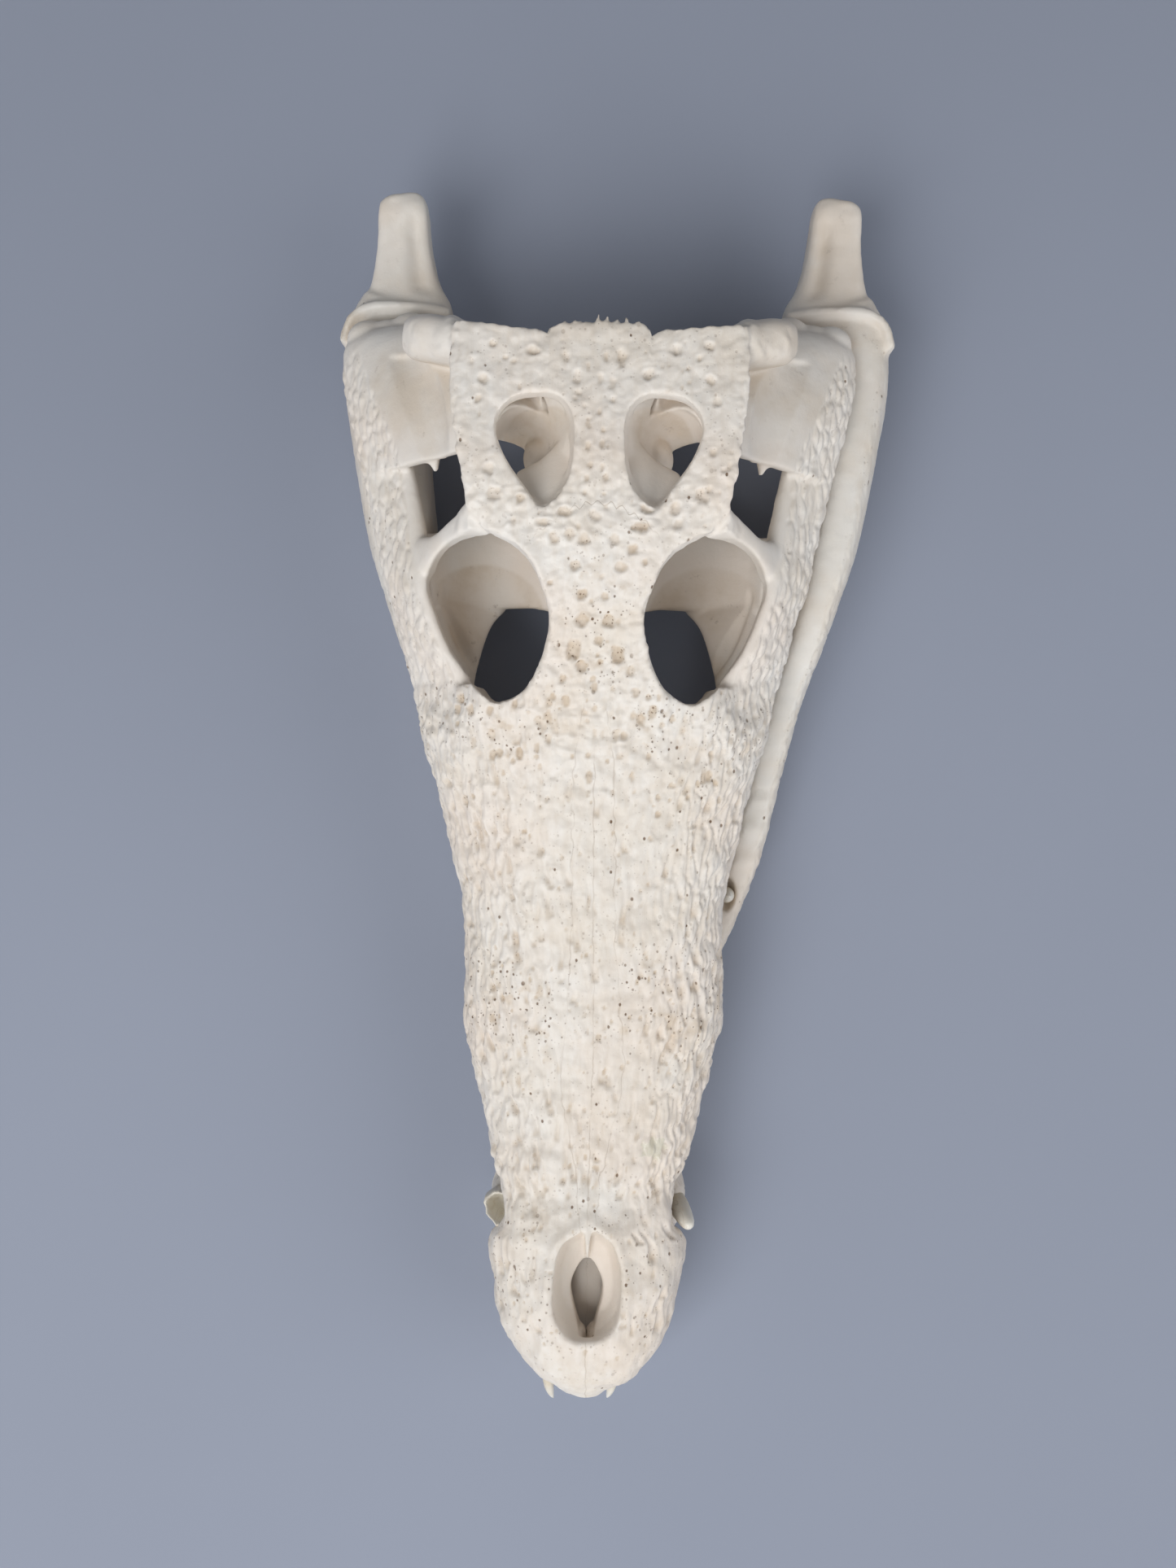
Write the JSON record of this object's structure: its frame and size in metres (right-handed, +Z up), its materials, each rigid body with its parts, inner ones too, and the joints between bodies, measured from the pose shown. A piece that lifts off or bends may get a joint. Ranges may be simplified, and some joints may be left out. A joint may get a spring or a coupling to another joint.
{
  "type": "crocodile skull",
  "caption": "Dry skull of a large crocodile lying on its closed lower jaw: long pitted snout, interlocking teeth, flat skull table and open orbits.",
  "frame": {"origin": "middle of the underside of the bounding box, on the surface that the lower jaw rests on", "axes": "+Z up, -Y towards the tip of the snout, +X towards the animal's left"},
  "size_m": [0.227, 0.5038, 0.1265],
  "materials": {
    "cranium_bone": "dry ivory bone, matt to satin",
    "inner_bone": "dry tan bone, matt",
    "jaw_bone": "dry cream bone, satin",
    "teeth": "smooth tooth enamel"
  },
  "bodies": {
    "root": {"snout": "cranium_bone", "skull_roof": "cranium_bone", "cheek_left": "cranium_bone", "cheek_right": "cranium_bone", "quadrate_left": "cranium_bone", "quadrate_right": "cranium_bone", "braincase": "inner_bone", "palate": "inner_bone", "mandible_left": "jaw_bone", "mandible_right": "jaw_bone"}
  },
  "joints": []
}
